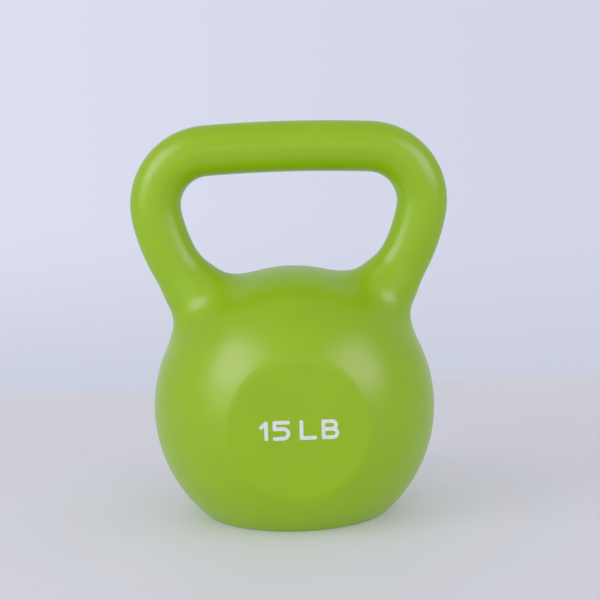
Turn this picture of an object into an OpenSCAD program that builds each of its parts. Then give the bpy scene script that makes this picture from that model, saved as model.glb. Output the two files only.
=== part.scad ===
// Kettlebell with a moulded vinyl shell over a cement ballast, marked 15 lb.
// Frame: origin at the centre of the base's underside, +Z up, the handle lies in the XZ plane
// and the marked face looks along -Y. All lengths in millimetres, all angles in degrees.

/* [Ball] */
// Diameter of the ball over its shell
ball_d = 170; // [164:1:176]
// Height of the ball's centre above the surface that it stands on
centre_h = 65; // [58:1:72]
// Distance between the two flat round faces, front to back
faces_w = 150; // [144:1:158]
// Radius of the rounding between each flat face and the ball
face_edge_r = 6; // [3:0.5:9]

/* [Handle] */
// Diameter of the grip over its shell
grip_d = 30; // [27:0.5:33]
// Angle from the vertical of each horn where it leaves the ball
root_angle = 38.3; // [36:0.1:41]
// Length of straight horn between the fillet at its root and its bend
root_straight = 0.3; // [0.1:0.1:5]
// Radius of the bend along each horn, to its centreline
horn_bend_r = 69; // [60:1:85]
// Outward lean of each horn where the corner starts
horn_lean = 3.2; // [1:0.1:6]
// Radius of the handle's corners, to their centreline
corner_r = 32.8; // [28:0.1:38]
// Slope of the slightly arched grip where it meets each corner
arch_slope = 3.2; // [2:0.1:5]
// Radius of the fillet where each horn runs into the ball
root_fillet_r = 30.5; // [24:0.5:32]

/* [Shell] */
// Wall thickness of the moulded shell
wall = 3; // [2:0.25:4]
// Thickness of the shell's floor inside the standing rim
floor_t = 3.5; // [3:0.25:5]
// Outer radius of the recess under the base, inside the standing rim
recess_r = 42; // [36:1:46]
// Depth of the recess under the base
recess_h = 4; // [3:0.25:5]
// Radius of the rounding round the outer edge of the base
base_edge_r = 4; // [3:0.5:6]

/* [Filler plug] */
// Diameter of the hole that the ballast is poured through
filler_d = 28; // [22:1:34]
// Diameter of the plug's flange
flange_d = 38; // [34:1:44]
// Thickness of the plug's flange
flange_t = 2.5; // [2:0.25:3]
// Depth of the plug's skirt from the underside of the shell's floor
skirt_h = 12; // [9:0.5:15]
// Wall thickness of the plug's skirt
skirt_t = 2; // [1.5:0.25:3]
// Overhang of the bead that holds the plug in its hole
bead_w = 0.8; // [0.5:0.1:1.2]

/* [Reinforcing rod] */
// Diameter of the steel rod cast into the handle
rod_d = 10; // [8:0.5:12]
// Depth of the rod's legs inside the ball, measured from where each horn starts to bend
rod_leg = 62; // [50:1:70]
// Length of the foot bent on the end of each leg
rod_foot = 22; // [16:1:26]
// Bend radius of the foot, to the rod's centreline
rod_foot_r = 12; // [10:1:14]

/* [Weight mark] */
// Height of the printed characters
mark_h = 11.5; // [9:0.5:14]
// Width of the printed strokes
mark_stroke = 2.2; // [1.6:0.1:2.6]
// Thickness of the ink
mark_t = 0.2; // [0.1:0.05:0.3]
// Width of the wide characters
char_w = 10; // [8:0.5:12]
// Width of the figure one
one_w = 5; // [4:0.5:6]
// Gap between neighbouring characters
char_gap = 2.6; // [2:0.1:4]
// Extra gap between the figures and the unit
word_gap = 2.8; // [0:0.2:5]

/* [Hidden] */
$fn = 128;
clear = 1;                        // overshoot that keeps cutting faces off the surfaces they cut
ball_r = ball_d / 2;
grip_r = grip_d / 2;
face_y = faces_w / 2;
rod_r = rod_d / 2;
filler_r = filler_d / 2;
flange_r = flange_d / 2;
plug_floor = recess_h + floor_t;  // height of the shell's floor above the standing rim, inside

// Distance from the ball's centre, along a horn, at which the fillet ends and the horn begins.
function fillet_top(r_ball, r_horn, r_fillet) =
    sqrt(pow(r_ball + r_fillet, 2) - pow(r_horn + r_fillet, 2));
// Distance at which the horn starts to bend, rounded up so that its joint has exact coordinates.
root_reach = ceil(10 * fillet_top(ball_r, grip_r, root_fillet_r)) / 10 + root_straight;

// The horn frame has its origin at the ball's centre and Z along the horn's root, so the handle
// leaves the ball squarely. Bearings in it are turned from X towards Z.
lean_turn = root_angle - horn_lean;             // bearing at which the horn meets the corner
arch_turn = root_angle + 90 - arch_slope;       // bearing at which the corner meets the grip
end_turn = root_angle + 90;                     // bearing of the middle of the grip
function toward(a) = [cos(a), sin(a)];
horn_pivot = [-horn_bend_r, root_reach];
corner_pivot = horn_pivot + (horn_bend_r - corner_r) * toward(lean_turn);
corner_x = corner_pivot[0] * cos(root_angle) + corner_pivot[1] * sin(root_angle);
arch_r = corner_r + corner_x / sin(arch_slope);
arch_pivot = corner_pivot - (arch_r - corner_r) * toward(arch_turn);

// Each character's strokes run along its centrelines, inside a box of stem_h by stem_w.
half_stroke = mark_stroke / 2;
stem_h = mark_h - mark_stroke;
stem_w = char_w - mark_stroke;
mark_x = [
    0,
    one_w + char_gap,
    one_w + char_w + 2 * char_gap + word_gap,
    one_w + 2 * char_w + 3 * char_gap + word_gap,
];
mark_w = mark_x[3] + char_w;

// Shapes shared by the shell, its cavity and the rod ------------------------------------------

module both_sides() {
    children();
    mirror([1, 0, 0]) children();
}

// A length to the nearest hundredth. Joints are reached by such a coarse step and then a fine
// one for the rest, so that both sides of a joint meet exactly.
function hundredths(x) = round(100 * x) / 100;

// A move in the XZ plane, as a coarse step and a fine one.
module place(v) {
    coarse = [hundredths(v[0]), hundredths(v[1])];
    fine = v - coarse;
    translate([coarse[0], 0, coarse[1]])
        translate([fine[0], 0, fine[1]])
            children();
}

// An arc of round bar of radius r about pivot, from bearing a0 to bearing a1.
module bent_bar(pivot, bend_r, a0, a1, r) {
    coarse = hundredths(bend_r);
    place(pivot)
        rotate([90, 0, 0])
            rotate_extrude(start = a0, angle = a1 - a0)
                translate([coarse, 0])
                    translate([bend_r - coarse, 0])
                        circle(r = r);
}

// Everything to the right of the middle of the handle.
module right_side() {
    intersection() {
        children();
        translate([0, -ball_d, 0]) cube(2 * ball_d);
    }
}

// The root of one horn, turned about its own axis: a fillet tangent to the ball and the horn.
module horn_root(r_ball, r_horn, r_fillet) {
    across = r_horn + r_fillet;
    along = fillet_top(r_ball, r_horn, r_fillet);
    touch = r_ball / (r_ball + r_fillet);
    rotate_extrude()
        difference() {
            polygon([
                [0, r_ball / 2],
                [across * touch, along * touch],
                [across, along],
                [r_horn, along],
                [r_horn, root_reach],
                [0, root_reach],
            ]);
            translate([across, along]) circle(r = r_fillet);
        }
}

// The bends of the handle from one horn's root to just past the middle of the grip.
module half_handle(r) {
    bent_bar(horn_pivot, horn_bend_r, 0, lean_turn, r);
    bent_bar(corner_pivot, corner_r, lean_turn, arch_turn, r);
    bent_bar(arch_pivot, arch_r, arch_turn, end_turn + 0.1, r);
}

// Sets a half drawn in the horn frame on both sides of the object.
module on_both_sides() {
    both_sides()
        right_side()
            translate([0, 0, centre_h])
                rotate([0, root_angle, 0])
                    children();
}

// The ball with its two flat faces, turned about the Y axis.
module faced_ball(r_ball, y_face, r_edge) {
    edge_y = y_face - r_edge;
    edge_x = sqrt(pow(r_ball - r_edge, 2) - edge_y * edge_y);
    touch = r_ball / (r_ball - r_edge);
    translate([0, 0, centre_h])
        rotate([90, 0, 0])
            rotate_extrude() {
                difference() {
                    intersection() {
                        circle(r = r_ball);
                        translate([0, -y_face]) square([r_ball, 2 * y_face]);
                    }
                    for (side = [-1, 1])
                        polygon([
                            [edge_x, side * edge_y],
                            [edge_x, side * (y_face + clear)],
                            [edge_x * touch + clear, side * (y_face + clear)],
                            [edge_x * touch + clear, side * (edge_y * touch + clear * edge_y / edge_x)],
                        ]);
                }
                for (side = [-1, 1]) translate([edge_x, side * edge_y]) circle(r = r_edge);
            }
}

// The ring that rounds the base's outer edge, tangent to the underside and to the ball.
module base_edge_cut() {
    drop = centre_h - base_edge_r;
    edge_x = sqrt(pow(ball_r - base_edge_r, 2) - drop * drop);
    reach = ball_r / (ball_r - base_edge_r) + 0.02;
    rotate_extrude()
        difference() {
            polygon([
                [edge_x, base_edge_r],
                [edge_x, -clear],
                [edge_x * reach, -clear],
                [edge_x * reach, centre_h - drop * reach],
            ]);
            translate([edge_x, base_edge_r]) circle(r = base_edge_r);
        }
}

// The outer form taken in by inset on every side: 0 is the shell's outside, wall its cavity.
module kettlebell_form(inset) {
    r_ball = ball_r - inset;
    r_horn = grip_r - inset;
    difference() {
        union() {
            faced_ball(r_ball, face_y - inset, face_edge_r - inset);
            on_both_sides() {
                horn_root(r_ball, r_horn, root_fillet_r + inset);
                half_handle(r_horn);
            }
        }
        translate([-ball_r, -ball_r, inset - ball_d]) cube(ball_d);
    }
}

// The space inside the shell, whose floor is raised over the recess.
module cavity() {
    difference() {
        kettlebell_form(wall);
        translate([0, 0, -clear]) cylinder(r = recess_r + wall, h = plug_floor + clear);
    }
}

// The bent rod. Each leg ends in a foot turned outwards, which anchors it in the ballast.
module rod_solid() {
    leg_end = root_reach - rod_leg;
    on_both_sides() {
        translate([0, 0, leg_end]) cylinder(r = rod_r, h = rod_leg);
        half_handle(rod_r);
        bent_bar([rod_foot_r, leg_end], rod_foot_r, 180, 270, rod_r);
        translate([rod_foot_r, 0, leg_end - rod_foot_r])
            rotate([0, 90, 0])
                cylinder(r = rod_r, h = rod_foot);
    }
}

// Strokes and characters ----------------------------------------------------------------------

module stroke(p, q) {
    run = q - p;
    translate(p)
        rotate(atan2(run[1], run[0]))
            translate([0, -half_stroke])
                square([norm(run), mark_stroke]);
}

module round_end(p) {
    translate(p) circle(r = half_stroke);
}

// A half ring that bulges to the right from x, with its centreline between low and high.
module right_bowl(x, low, high) {
    r = (high - low) / 2;
    translate([x, low + r])
        intersection() {
            difference() {
                circle(r = r + half_stroke);
                circle(r = r - half_stroke);
            }
            translate([0, -2 * r]) square(4 * r);
        }
}

module figure_one() {
    x = one_w - mark_stroke;
    flag = stem_h * 0.72;
    stroke([x, 0], [x, stem_h]);
    stroke([x, stem_h], [0, flag]);
    round_end([x, 0]);
    round_end([x, stem_h]);
    round_end([0, flag]);
}

module figure_five() {
    bowl_h = stem_h * 0.6;
    bowl_x = stem_w - bowl_h / 2;
    stroke([0, stem_h], [stem_w, stem_h]);
    stroke([0, bowl_h], [0, stem_h]);
    stroke([0, bowl_h], [bowl_x, bowl_h]);
    stroke([0, 0], [bowl_x, 0]);
    right_bowl(bowl_x, 0, bowl_h);
    for (p = [[stem_w, stem_h], [0, stem_h], [0, bowl_h], [0, 0]]) round_end(p);
}

module letter_l() {
    stroke([0, 0], [0, stem_h]);
    stroke([0, 0], [stem_w, 0]);
    for (p = [[0, stem_h], [0, 0], [stem_w, 0]]) round_end(p);
}

module letter_b() {
    waist = stem_h * 0.52;
    lower_x = stem_w - waist / 2;
    upper_x = lower_x - stem_w * 0.06;
    stroke([0, 0], [0, stem_h]);
    stroke([0, 0], [lower_x, 0]);
    stroke([0, waist], [lower_x, waist]);
    stroke([0, stem_h], [upper_x, stem_h]);
    right_bowl(lower_x, 0, waist);
    right_bowl(upper_x, waist, stem_h);
    for (y = [0, stem_h]) round_end([0, y]);
}

// Parts ---------------------------------------------------------------------------------------

// The moulded shell: one skin over ball, horns and grip, with a filler hole in its floor.
module outer_shell() {
    color("yellowgreen")
        difference() {
            kettlebell_form(0);
            base_edge_cut();
            cavity();
            translate([0, 0, -clear]) cylinder(r = recess_r, h = recess_h + clear);
            cylinder(r = filler_r, h = plug_floor + clear);
        }
}

// The ballast: cement poured through the filler hole, which fills ball, horns and grip.
module ballast_core() {
    color("darkgray")
        difference() {
            cavity();
            rod_solid();
            cylinder(r = filler_r + bead_w, h = recess_h + skirt_h);
        }
}

// The steel rod cast into the ballast, which carries the handle's load into the ball.
module handle_rod() {
    color("slategray") rod_solid();
}

// The press-in plug that closes the filler hole. Its flange stays above the standing rim, and
// the bead round its skirt snaps over the inner edge of the hole.
module filler_plug() {
    color("olivedrab")
        difference() {
            union() {
                translate([0, 0, recess_h - flange_t]) cylinder(r = flange_r, h = flange_t);
                translate([0, 0, recess_h]) cylinder(r = filler_r, h = skirt_h);
                translate([0, 0, plug_floor]) cylinder(r1 = filler_r + bead_w, r2 = filler_r, h = 2 * bead_w);
            }
            translate([0, 0, recess_h]) cylinder(r = filler_r - skirt_t, h = skirt_h + clear);
        }
}

// The printed weight mark: four characters of round-ended strokes on the front face.
module weight_mark() {
    color("white")
        translate([-mark_w / 2, -face_y, centre_h - mark_h / 2])
            rotate([90, 0, 0])
                linear_extrude(height = mark_t)
                    for (i = [0 : len(mark_x) - 1])
                        translate([mark_x[i] + half_stroke, half_stroke]) {
                            if (i == 0) figure_one();
                            if (i == 1) figure_five();
                            if (i == 2) letter_l();
                            if (i == 3) letter_b();
                        }
}

outer_shell();
ballast_core();
handle_rod();
filler_plug();
weight_mark();
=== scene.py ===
"""Kettlebell with a moulded vinyl shell: the visual model on its CAD frame, its materials and studio.

Shapes are worked out in millimetres and stored in metres, in the CAD's frame: origin under the middle of
the base, Z up, the grip along X and the marked face towards -Y.
"""

import math

import bmesh
import bpy
import numpy as np
from mathutils import Matrix, Vector


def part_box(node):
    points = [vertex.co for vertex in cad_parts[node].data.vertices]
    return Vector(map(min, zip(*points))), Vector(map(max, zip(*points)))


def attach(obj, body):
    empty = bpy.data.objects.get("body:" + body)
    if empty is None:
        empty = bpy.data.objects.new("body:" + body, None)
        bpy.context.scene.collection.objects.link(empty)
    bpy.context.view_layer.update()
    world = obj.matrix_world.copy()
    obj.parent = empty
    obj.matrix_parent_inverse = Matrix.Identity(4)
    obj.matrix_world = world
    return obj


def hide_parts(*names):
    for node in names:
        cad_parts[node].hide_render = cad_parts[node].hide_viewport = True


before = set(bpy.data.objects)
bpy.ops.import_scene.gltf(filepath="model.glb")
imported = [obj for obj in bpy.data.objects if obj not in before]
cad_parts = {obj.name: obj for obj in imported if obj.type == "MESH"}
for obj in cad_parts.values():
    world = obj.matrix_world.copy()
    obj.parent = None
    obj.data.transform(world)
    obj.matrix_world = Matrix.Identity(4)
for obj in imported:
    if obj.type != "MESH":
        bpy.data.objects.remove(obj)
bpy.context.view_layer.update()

MM = 0.001

# ---- Sizes that the CAD model gives -----------------------------------------------------------
shell_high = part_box("outer_shell")[1]
plug_low, plug_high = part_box("filler_plug")
FACE_Y = shell_high.y / MM  # half of the distance between the flat faces
TOP_Z = shell_high.z / MM
HALF_W = shell_high.x / MM
PLUG_LOW = plug_low.z / MM
PLUG_HIGH = plug_high.z / MM
FLANGE_R = plug_high.x / MM

# ---- Sizes of the form, in millimetres and degrees ----------------------------------------------
# BALL_R and GRIP_R are measured over the seam. The skin beside it lies SEAM_H lower.
BALL_R = 85.55
CENTRE_Z = 65.0
SEAM_H = 0.10  # height of the moulding seam along the middle plane
SEAM_W = 0.55  # half-width of the seam
MARK_GAP = 0.01  # the faces stop just short of the ink
GRIP_R = 15.25
CORNER_R = 32.8
ARCH_SLOPE = 3.2  # slope of the arched grip where it meets each corner
HORN_LEAN = 11.5  # outward lean of each horn where its corner ends
HORN_R = 105.5  # radius of the bend along each horn
HORN_TURN = 22.7  # angle that the bend turns through
HORN_BLEND = 31.0  # reach of the soft blend between horns and ball
FACE_BLEND = 0.85
BASE_BLEND = 1.0
WALL = 3.0
RECESS_R = 42.0
RECESS_H = 4.0
FLOOR_T = 3.5
FILLER_R = 14.0

# ---- Fineness of the meshes, in millimetres -----------------------------------------------------
OUTER_GRID = 1.6
INNER_GRID = 3.2
PAD = 3.0  # room between the form and the edge of the grid
OPEN_R = 47.5  # reach of the opening cut in each skin's base
RIM_R = 45.2  # where the turned underside meets the outer skin
RING_R = 30.0  # a ring about halfway across the recess, to keep its faces short
SHELL_SEGMENTS = 256
PLUG_SEGMENTS = 96
PLUG_MIDDLE_R = 0.4  # radius of the small flat cap that closes the plug on its axis

corner_x = HALF_W - CORNER_R - GRIP_R
arch_r = CORNER_R + corner_x / math.sin(math.radians(ARCH_SLOPE))
arch_z = TOP_Z - GRIP_R - arch_r
corner_z = arch_z + (arch_r - CORNER_R) * math.cos(math.radians(ARCH_SLOPE))
lean = math.radians(HORN_LEAN)
horn_x = corner_x - (HORN_R - CORNER_R) * math.cos(lean)
horn_z = corner_z + (HORN_R - CORNER_R) * math.sin(lean)


# ---- The form as a distance field ---------------------------------------------------------------
def smooth_max(a, b, k):
    h = np.maximum(k - np.abs(a - b), 0) / k
    return np.maximum(a, b) + h * h * k / 4


def smooth_min(a, b, k):
    return -smooth_max(-a, -b, k)


def arc_distance(x, z, cx, cz, r, low, high):
    """Distance in the XZ plane to the arc about (cx, cz) between two angles in degrees."""
    low, high = math.radians(low), math.radians(high)
    angle = np.arctan2(z - cz, x - cx)
    angle = np.clip(angle, low, high)
    return np.hypot(x - cx - r * np.cos(angle), z - cz - r * np.sin(angle))


def form(p):
    """The whole outside before the base is cut: the faced ball and the handle, softly blended."""
    x, y, z = np.abs(p[:, 0]), p[:, 1], p[:, 2]
    ball = np.sqrt(x * x + y * y + (z - CENTRE_Z) ** 2) - BALL_R
    ball = smooth_max(ball, np.abs(y) - FACE_Y - SEAM_H + MARK_GAP, FACE_BLEND)
    line = np.minimum(
        arc_distance(x, z, 0, arch_z, arch_r, 90 - ARCH_SLOPE, 90),
        arc_distance(x, z, corner_x, corner_z, CORNER_R, -HORN_LEAN, 90 - ARCH_SLOPE),
    )
    line = np.minimum(line, arc_distance(x, z, horn_x, horn_z, HORN_R, -HORN_LEAN - HORN_TURN, -HORN_LEAN))
    bar = np.hypot(line, y) - GRIP_R
    return smooth_min(ball, bar, HORN_BLEND)


def outside(p):
    """The outside: the form with its seam, standing on its flat base."""
    seam = SEAM_H * np.exp(-((p[:, 1] / SEAM_W) ** 2))
    return smooth_max(form(p) + SEAM_H - seam, -p[:, 2], BASE_BLEND)


def inside(p):
    """The inner skin, one wall thickness in from the outside."""
    return smooth_max(form(p) + WALL, WALL - p[:, 2], BASE_BLEND)


def gradient(field, p, step=0.02):
    g = np.empty_like(p)
    for axis in range(3):
        d = np.zeros(3)
        d[axis] = step
        g[:, axis] = (field(p + d) - field(p - d)) / (2 * step)
    return g


def settle(field, p, rounds=4):
    """Moves points onto the surface where the field is zero."""
    for _ in range(rounds):
        g = gradient(field, p)
        p = p - field(p)[:, None] * g / np.maximum((g * g).sum(1), 0.05)[:, None]
    return p


def steps(*spans):
    """Grid lines from (start, end, spacing) spans that follow on from each other."""
    lines = [np.array([spans[0][0]])]
    for start, end, spacing in spans:
        n = max(1, round((end - start) / spacing))
        lines.append(np.linspace(start, end, n + 1)[1:])
    return np.concatenate(lines)


def cells_round(where, axis):
    """The four cells that share each grid edge along an axis, in order round the edge."""
    u, v = (axis + 1) % 3, (axis + 2) % 3
    for du, dv in ((0, 0), (1, 0), (1, 1), (0, 1)):
        cell = where.copy()
        cell[:, u] -= du
        cell[:, v] -= dv
        yield tuple(cell.T)


def surface_net(field, xs, ys, zs):
    """Quads round the surface where the field is zero, one point to a grid cell, settled onto it."""
    shape = (len(xs), len(ys), len(zs))
    grid = np.stack(np.meshgrid(xs, ys, zs, indexing="ij"), -1).reshape(-1, 3)
    value = np.concatenate([field(part) for part in np.array_split(grid, 12)]).reshape(shape)
    solid = value < 0
    cells = tuple(n - 1 for n in shape)
    total, count = np.zeros(cells + (3,)), np.zeros(cells)
    lines = (xs, ys, zs)
    crossings = []
    for axis in range(3):
        head = [slice(None)] * 3
        tail = [slice(None)] * 3
        head[axis], tail[axis] = slice(1, None), slice(None, -1)
        a, b = value[tuple(tail)], value[tuple(head)]
        where = np.argwhere(solid[tuple(tail)] != solid[tuple(head)])
        va, vb = a[tuple(where.T)], b[tuple(where.T)]
        share = va / (va - vb)
        points = np.stack([lines[d][where[:, d]] for d in range(3)], -1).astype(float)
        at = where[:, axis]
        points[:, axis] = lines[axis][at] + share * (lines[axis][at + 1] - lines[axis][at])
        crossings.append((axis, where, va < 0))
        for cell in cells_round(where, axis):
            np.add.at(total, cell, points)
            np.add.at(count, cell, 1)
    used = count > 0
    index = np.full(cells, -1)
    index[used] = np.arange(used.sum())
    vertices = total[used] / count[used][:, None]
    quads = []
    for axis, where, first_in in crossings:
        ring = np.stack([index[cell] for cell in cells_round(where, axis)], -1)
        ring[~first_in] = ring[~first_in][:, ::-1]
        quads.append(ring)
    quads = np.concatenate(quads)
    vertices = settle(field, vertices)
    for _ in range(3):  # even out the quads, along the surface only
        total, count = np.zeros_like(vertices), np.zeros(len(vertices))
        for i in range(4):
            for j in ((i + 1) % 4, (i + 3) % 4):
                np.add.at(total, quads[:, i], vertices[quads[:, j]])
                np.add.at(count, quads[:, i], 1)
        vertices = settle(field, vertices * 0.5 + total / count[:, None] * 0.5, 2)
    return vertices, quads


# ---- Joining the skins to the turned underside --------------------------------------------------
def open_base(vertices, quads, base_z, radius):
    """Drops the flat middle of a skin's base, and gives the ring of points round the opening."""
    low = np.abs(vertices[:, 2] - base_z) < 0.2  # on the flat base, short of its rounded edge
    flat = low[quads].all(1)
    near = np.hypot(*vertices[quads].mean(1)[:, :2].T) < radius
    quads = quads[~(flat & near)]
    edges = dict.fromkeys((int(a), int(b)) for quad in quads for a, b in zip(quad, np.roll(quad, -1)))
    follow = {b: a for a, b in edges if (b, a) not in edges}
    start = next(iter(follow))
    ring = [start]
    while follow[ring[-1]] != start:
        ring.append(follow[ring[-1]])
    used = np.unique(quads)
    renumber = np.full(len(vertices), -1)
    renumber[used] = np.arange(len(used))
    return vertices[used], renumber[quads], renumber[np.array(ring)]


def turned(profile, segments):
    """Points and quads of a profile turned about Z, ring by ring, with no first or last cap."""
    angle = np.linspace(0, 2 * math.pi, segments, endpoint=False)
    circle = np.stack([np.cos(angle), np.sin(angle)], -1)
    rings = [np.column_stack([r * circle, np.full(segments, z)]) for r, z in profile]
    here = np.arange(segments)
    after = np.roll(here, -1)
    first_quads = np.stack([here, after, after + segments, here + segments], -1)
    quads = [first_quads + i * segments for i in range(len(profile) - 1)]
    return np.concatenate(rings), np.concatenate(quads)


def zipper(points, ring_a, ring_b):
    """Triangles between two closed rings round the Z axis, taking the shorter diagonal at each step."""

    def unrolled(ring):
        """The ring anticlockwise from its point of lowest angle, which comes again at the end."""
        x, y = points[ring, 0], points[ring, 1]
        if (x * np.roll(y, -1) - y * np.roll(x, -1)).sum() < 0:
            ring = ring[::-1]
        angle = np.arctan2(points[ring, 1], points[ring, 0])
        ring = np.roll(ring, -int(np.argmin(angle)))
        return np.append(ring, ring[0])

    a, b = unrolled(ring_a), unrolled(ring_b)
    faces, i, j = [], 0, 0
    while i + 1 < len(a) or j + 1 < len(b):
        on_a = np.linalg.norm(points[a[i + 1]] - points[b[j]]) if i + 1 < len(a) else math.inf
        on_b = np.linalg.norm(points[a[i]] - points[b[j + 1]]) if j + 1 < len(b) else math.inf
        if on_a <= on_b:
            faces.append((a[i], a[i + 1], b[j]))
            i += 1
        else:
            faces.append((a[i], b[j + 1], b[j]))
            j += 1
    return faces


def rounded(corners, segments=5):
    """A profile through corners given as (r, z, radius), with each corner rounded by its radius."""
    out = []
    for i, (r, z, radius) in enumerate(corners):
        here = np.array([r, z])
        if not radius:
            out.append(here)
            continue
        back = np.array(corners[i - 1][:2]) - here
        on = np.array(corners[i + 1][:2]) - here
        back, on = back / np.linalg.norm(back), on / np.linalg.norm(on)
        half = math.acos(float(np.clip(back @ on, -1, 1))) / 2
        centre = here + (back + on) / np.linalg.norm(back + on) * radius / math.sin(half)
        first = here + back * radius / math.tan(half)
        last = here + on * radius / math.tan(half)
        for t in np.linspace(0, 1, segments):
            p = first * (1 - t) + last * t - centre
            out.append(centre + p / np.linalg.norm(p) * radius)
    return out


def add_piece(name, points, faces):
    """A smooth-shaded object from points in millimetres, with all its faces turned the same way out."""
    places = [tuple(float(c) * MM for c in p) for p in points]
    mesh = bpy.data.meshes.new(name)
    mesh.from_pydata(places, [], [tuple(int(i) for i in f) for f in faces])
    skin = bmesh.new()
    skin.from_mesh(mesh)
    bmesh.ops.recalc_face_normals(skin, faces=skin.faces)
    skin.to_mesh(mesh)
    skin.free()
    mesh.shade_smooth()
    piece = bpy.data.objects.new(name, mesh)
    bpy.context.scene.collection.objects.link(piece)
    return piece


def shell_piece():
    """The hollow shell: outer and inner skin, joined by the turned recess and filling hole."""
    reach = HALF_W + PAD
    top = TOP_Z + PAD
    deep = FACE_Y + PAD
    outer = surface_net(
        outside,
        steps((-reach, reach, OUTER_GRID)),
        # finer across the seam
        steps(
            (-deep, -2.0, OUTER_GRID),
            (-2.0, -0.9, 0.55),
            (-0.9, 0.9, 0.3),
            (0.9, 2.0, 0.55),
            (2.0, deep, OUTER_GRID),
        ),
        # finer round the edge of the base
        steps((-3.1, 9.0, 1.1), (9.0, top, OUTER_GRID)),
    )
    inner = surface_net(
        inside,
        steps((-reach, reach, INNER_GRID)),
        steps((-deep, deep, INNER_GRID)),
        steps((-0.4, top, INNER_GRID)),
    )
    outer_points, outer_quads, outer_ring = open_base(*outer, 0.0, OPEN_R)
    inner_points, inner_quads, inner_ring = open_base(*inner, WALL, OPEN_R)
    floor_z = RECESS_H + FLOOR_T
    profile = rounded(
        [
            (RIM_R, 0.0, 0),
            (RECESS_R, 0.0, 0.9),
            (RECESS_R, RECESS_H, 0.8),
            (RING_R, RECESS_H, 0),
            (FILLER_R, RECESS_H, 0.5),
            (FILLER_R, floor_z, 0.5),
            (RING_R, floor_z, 0),
            (RECESS_R + WALL, floor_z, 1.2),
            (RECESS_R + WALL, WALL, 0),
        ]
    )
    turned_points, turned_quads = turned(profile, SHELL_SEGMENTS)
    points = np.concatenate([outer_points, inner_points, turned_points])
    inner_at = len(outer_points)
    turned_at = inner_at + len(inner_points)
    first = np.arange(SHELL_SEGMENTS) + turned_at
    last = first + (len(profile) - 1) * SHELL_SEGMENTS
    faces = [tuple(q) for q in outer_quads]
    faces += [tuple(q[::-1] + inner_at) for q in inner_quads]
    faces += [tuple(q + turned_at) for q in turned_quads]
    faces += [f[::-1] for f in zipper(points, outer_ring, first)]
    faces += zipper(points, inner_ring + inner_at, last)
    return add_piece("kettlebell_shell", points, faces)


def plug_piece():
    """The press-in plug, with rounded edges, a shallow dish in its flange and a hollow skirt."""
    dish_z = PLUG_LOW + 0.9
    floor_z = RECESS_H + FLOOR_T
    bead = 0.8
    skirt_r = FILLER_R - 2.0
    profile = rounded(
        [
            (PLUG_MIDDLE_R, dish_z, 0),
            (FLANGE_R * 0.62, dish_z, 1.2),
            (FLANGE_R * 0.68, PLUG_LOW, 0.5),
            (FLANGE_R, PLUG_LOW, 0.6),
            (FLANGE_R, RECESS_H, 0.4),
            (FILLER_R, RECESS_H, 0),
            (FILLER_R, floor_z, 0),
            (FILLER_R + bead, floor_z, 0),
            (FILLER_R, floor_z + 2 * bead, 0),
            (FILLER_R, PLUG_HIGH, 0.4),
            (skirt_r, PLUG_HIGH, 0.4),
            (skirt_r, RECESS_H, 0),
            (PLUG_MIDDLE_R, RECESS_H, 0),
        ],
        4,
    )
    points, quads = turned(profile, PLUG_SEGMENTS)
    faces = [tuple(q) for q in quads]
    faces.append(tuple(range(PLUG_SEGMENTS - 1, -1, -1)))
    start = (len(profile) - 1) * PLUG_SEGMENTS
    faces.append(tuple(range(start, start + PLUG_SEGMENTS)))
    return add_piece("base_plug", points, faces)


# ---- Materials -----------------------------------------------------------------------------------
def material(name):
    m = bpy.data.materials.new(name)
    m.use_nodes = True
    tree = m.node_tree
    return m, tree, tree.nodes["Principled BSDF"]


def node(tree, kind, **values):
    n = tree.nodes.new(kind)
    for key, value in values.items():
        setattr(n, key, value)
    return n


def noise(tree, coordinates, scale, detail, roughness=0.5):
    n = node(tree, "ShaderNodeTexNoise")
    n.inputs["Scale"].default_value = scale
    n.inputs["Detail"].default_value = detail
    n.inputs["Roughness"].default_value = roughness
    tree.links.new(coordinates.outputs["Object"], n.inputs["Vector"])
    return n


def ramp(tree, source, stops):
    r = node(tree, "ShaderNodeValToRGB")
    while len(r.color_ramp.elements) < len(stops):
        r.color_ramp.elements.new(0.5)
    for element, (place, colour) in zip(r.color_ramp.elements, stops):
        element.position = place
        element.color = (*colour, 1)
    tree.links.new(source, r.inputs["Fac"])
    return r


def spread(tree, source, low, high):
    """Maps a texture's 0 to 1 onto low to high."""
    r = node(tree, "ShaderNodeMapRange")
    r.inputs["To Min"].default_value = low
    r.inputs["To Max"].default_value = high
    tree.links.new(source, r.inputs["Value"])
    return r


def bump(tree, height, strength, distance, above):
    """Relief from a texture, passed on to the shader or to the finer bump above it."""
    b = node(tree, "ShaderNodeBump")
    b.inputs["Strength"].default_value = strength
    b.inputs["Distance"].default_value = distance
    tree.links.new(height, b.inputs["Height"])
    tree.links.new(b.outputs["Normal"], above.inputs["Normal"])
    return b


def vinyl(name, dark, light, roughness):
    """Moulded satin vinyl: a faint mottle in colour, a fine grain, and slow unevenness of the skin."""
    m, tree, shader = material(name)
    at = node(tree, "ShaderNodeTexCoord")
    mottle = noise(tree, at, 38.0, 4.0)
    colour = ramp(tree, mottle.outputs["Fac"], [(0.3, dark), (0.7, light)])
    tree.links.new(colour.outputs["Color"], shader.inputs["Base Color"])
    cloud = noise(tree, at, 90.0, 3.0)
    rough = spread(tree, cloud.outputs["Fac"], roughness - 0.035, roughness + 0.035)
    tree.links.new(rough.outputs["Result"], shader.inputs["Roughness"])
    shader.inputs["IOR"].default_value = 1.47
    grain = noise(tree, at, 2600.0, 2.0)
    swell = noise(tree, at, 26.0, 1.0)
    fine = bump(tree, grain.outputs["Fac"], 0.10, 0.0002, shader)
    bump(tree, swell.outputs["Fac"], 0.06, 0.004, fine)
    return m


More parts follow.
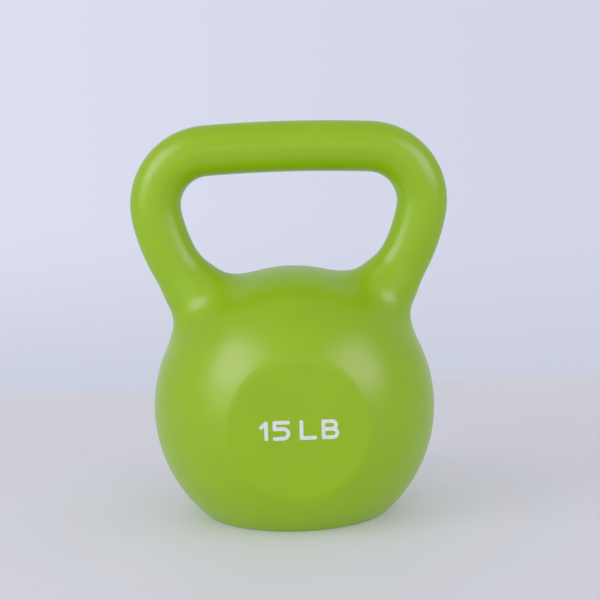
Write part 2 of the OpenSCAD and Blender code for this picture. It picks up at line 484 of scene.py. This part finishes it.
def ink():
    """White screen-printed ink, thin enough for the grain under it to show."""
    m, tree, shader = material("mark_ink")
    at = node(tree, "ShaderNodeTexCoord")
    patch = noise(tree, at, 700.0, 4.0)
    colour = ramp(tree, patch.outputs["Fac"], [(0.3, (0.72, 0.76, 0.74)), (0.65, (0.8, 0.83, 0.83))])
    tree.links.new(colour.outputs["Color"], shader.inputs["Base Color"])
    rough = spread(tree, patch.outputs["Fac"], 0.5, 0.6)
    tree.links.new(rough.outputs["Result"], shader.inputs["Roughness"])
    grain = noise(tree, at, 2600.0, 2.0)
    bump(tree, grain.outputs["Fac"], 0.1, 0.0002, shader)
    return m


def cement():
    """Cast cement: grey, speckled with sand and pitted by small air holes."""
    m, tree, shader = material("cast_cement")
    at = node(tree, "ShaderNodeTexCoord")
    speckle = noise(tree, at, 420.0, 6.0, 0.7)
    colour = ramp(tree, speckle.outputs["Fac"], [(0.32, (0.24, 0.235, 0.22)), (0.68, (0.5, 0.49, 0.46))])
    tree.links.new(colour.outputs["Color"], shader.inputs["Base Color"])
    rough = spread(tree, speckle.outputs["Fac"], 0.82, 0.96)
    tree.links.new(rough.outputs["Result"], shader.inputs["Roughness"])
    pits = node(tree, "ShaderNodeTexVoronoi")
    pits.inputs["Scale"].default_value = 260.0
    tree.links.new(at.outputs["Object"], pits.inputs["Vector"])
    bump(tree, pits.outputs["Distance"], 0.5, 0.001, shader)
    return m


def steel():
    """Plain drawn bar, patched with a little dark mill scale."""
    m, tree, shader = material("drawn_steel")
    at = node(tree, "ShaderNodeTexCoord")
    scale = noise(tree, at, 160.0, 5.0)
    colour = ramp(tree, scale.outputs["Fac"], [(0.35, (0.2, 0.2, 0.21)), (0.7, (0.42, 0.42, 0.43))])
    tree.links.new(colour.outputs["Color"], shader.inputs["Base Color"])
    shader.inputs["Metallic"].default_value = 1.0
    rough = spread(tree, scale.outputs["Fac"], 0.35, 0.55)
    tree.links.new(rough.outputs["Result"], shader.inputs["Roughness"])
    bump(tree, scale.outputs["Fac"], 0.2, 0.0002, shader)
    return m


def give(thing, finish):
    thing.data.materials.clear()
    thing.data.materials.append(finish)


shell = shell_piece()
plug = plug_piece()
SHELL_DARK = (0.298, 0.505, 0.002)
SHELL_LIGHT = (0.312, 0.527, 0.003)
give(shell, vinyl("green_vinyl", SHELL_DARK, SHELL_LIGHT, 0.30))
give(plug, vinyl("plug_vinyl", (0.19, 0.34, 0.006), (0.21, 0.36, 0.008), 0.5))
give(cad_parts["weight_mark"], ink())
give(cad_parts["ballast_core"], cement())
give(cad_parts["handle_rod"], steel())
for piece, cad_node, slot in (
    (shell, "outer_shell", "shell_vinyl"),
    (plug, "filler_plug", "plug_vinyl"),
):
    give(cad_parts[cad_node], piece.data.materials[0])
    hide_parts(cad_node)
    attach(piece, "root")


# ---- Studio --------------------------------------------------------------------------------------
# Colours of the light from each direction, in the order backdrop, front and sides.
BACKDROP_LOW = (0.59, 0.62, 0.72)
BACKDROP_LEFT = (0.715, 0.74, 0.878)
BACKDROP_RIGHT = (0.66, 0.675, 0.80)
FRONT_LOW = (1.17, 1.17, 1.19)
FRONT_HIGH = (0.72, 0.72, 0.72)
SIDES = (0.55, 0.55, 0.56)
PINK = (0.95, 0.57, 1.04)  # of the lights that only show as gloss, to pale the highlights on green
AIM_Z = 0.12  # height that the softboxes face, half of the object's


def floor():
    """A pale tabletop that ends a little way behind the object. It glows faintly: painted light that lifts
    the shadow beside the base and lights the object's underside.
    """
    half_width, front, back = 3.0, -3.0, 0.41
    mesh = bpy.data.meshes.new("studio_floor")
    corners = [(-half_width, front), (half_width, front), (half_width, back), (-half_width, back)]
    mesh.from_pydata([(x, y, 0) for x, y in corners], [], [(0, 1, 2, 3)])
    thing = bpy.data.objects.new("studio_floor", mesh)
    bpy.context.scene.collection.objects.link(thing)
    m, tree, shader = material("studio_floor")
    at = node(tree, "ShaderNodeTexCoord")
    patch = noise(tree, at, 6.0, 3.0)
    shades = [(0.3, (0.595, 0.595, 0.658)), (0.7, (0.615, 0.615, 0.678))]
    colour = ramp(tree, patch.outputs["Fac"], shades)
    tree.links.new(colour.outputs["Color"], shader.inputs["Base Color"])
    # painted light: the tabletop's own colour also glows, lifting the shadow round the base and lighting
    # the underside of the object
    tree.links.new(colour.outputs["Color"], shader.inputs["Emission Color"])
    shader.inputs["Emission Strength"].default_value = 0.275
    shader.inputs["Roughness"].default_value = 0.6
    thing.data.materials.append(m)


def softbox(name, azimuth, elevation, distance, size, power, colour=(1, 1, 1), diffuse=True):
    """An area light that faces the object, azimuth 0 before its marked face and 90 towards +X."""
    a, e = math.radians(azimuth), math.radians(elevation)
    away = Vector((math.sin(a) * math.cos(e), -math.cos(a) * math.cos(e), math.sin(e)))
    lamp = bpy.data.lights.new(name, "AREA")
    lamp.shape = "RECTANGLE"
    lamp.size, lamp.size_y = size
    lamp.energy = power
    lamp.color = colour
    thing = bpy.data.objects.new(name, lamp)
    thing.location = Vector((0, 0, AIM_Z)) + away * distance
    thing.rotation_mode = "QUATERNION"
    thing.rotation_quaternion = (-away).to_track_quat("-Z", "Y")
    thing.visible_diffuse = diffuse
    bpy.context.scene.collection.objects.link(thing)


def background():
    """The tent round the object: a pale backdrop behind it, and plain walls at the sides and in front."""
    world = bpy.data.worlds.new("studio")
    bpy.context.scene.world = world
    world.use_nodes = True
    tree = world.node_tree
    at = node(tree, "ShaderNodeTexCoord")
    split = node(tree, "ShaderNodeSeparateXYZ")
    tree.links.new(at.outputs["Generated"], split.inputs["Vector"])

    def between(axis, start, end):
        share = node(tree, "ShaderNodeMapRange", interpolation_type="SMOOTHSTEP")
        share.inputs["From Min"].default_value = start
        share.inputs["From Max"].default_value = end
        tree.links.new(split.outputs[axis], share.inputs["Value"])
        return share

    def blend(share, first, second):
        mix = node(tree, "ShaderNodeMix", data_type="RGBA")
        tree.links.new(share.outputs["Result"], mix.inputs["Factor"])
        for socket, colour in (("A", first), ("B", second)):
            if isinstance(colour, tuple):
                mix.inputs[socket].default_value = (*colour, 1)
            else:
                tree.links.new(colour.outputs["Result"], mix.inputs[socket])
        return mix

    upper = blend(between("X", -0.2, 0.2), BACKDROP_LEFT, BACKDROP_RIGHT)
    backdrop = blend(between("Z", -0.2, -0.08), BACKDROP_LOW, upper)
    front = blend(between("Z", 0.2, 0.6), FRONT_LOW, FRONT_HIGH)
    walls = blend(between("Y", -0.5, 0.0), front, SIDES)
    whole = blend(between("Y", 0.72, 0.93), walls, backdrop)
    tree.links.new(whole.outputs["Result"], tree.nodes["Background"].inputs["Color"])


def camera():
    """A long lens a metre off, a little above and to the left, held very slightly tilted."""
    pitch, yaw, roll = (math.radians(a) for a in (7.83, 2.03, 1.5))
    distance, sideways, height = 1.055, 0.00505, 0.12965
    back = Vector((-math.sin(yaw) * math.cos(pitch), -math.cos(yaw) * math.cos(pitch), math.sin(pitch)))
    right = Vector((math.cos(yaw), -math.sin(yaw), 0))
    up = right.cross(-back)
    tilted_right = math.cos(roll) * right - math.sin(roll) * up
    tilted_up = math.sin(roll) * right + math.cos(roll) * up
    data = bpy.data.cameras.new("camera")
    data.sensor_width = 36.0
    data.lens = 104.0
    thing = bpy.data.objects.new("camera", data)
    turn = Matrix((tilted_right, tilted_up, back)).transposed().to_4x4()
    place = Vector((0, 0, height)) + right * sideways + back * distance
    thing.matrix_world = Matrix.Translation(place) @ turn
    bpy.context.scene.collection.objects.link(thing)
    bpy.context.scene.camera = thing


floor()
softbox("key_left", -62.0, 24.0, 1.3, (0.7, 1.1), 3.2)
softbox("key_right", 64.0, 26.0, 1.3, (0.58, 0.62), 0.4)
softbox("shine_left", -61.0, 35.5, 1.3, (0.84, 0.84), 6.9, PINK, False)
softbox("shine_right", 60.0, 29.0, 1.3, (0.86, 0.8), 6.6, PINK, False)
background()
camera()
bpy.context.scene.view_settings.view_transform = "Standard"
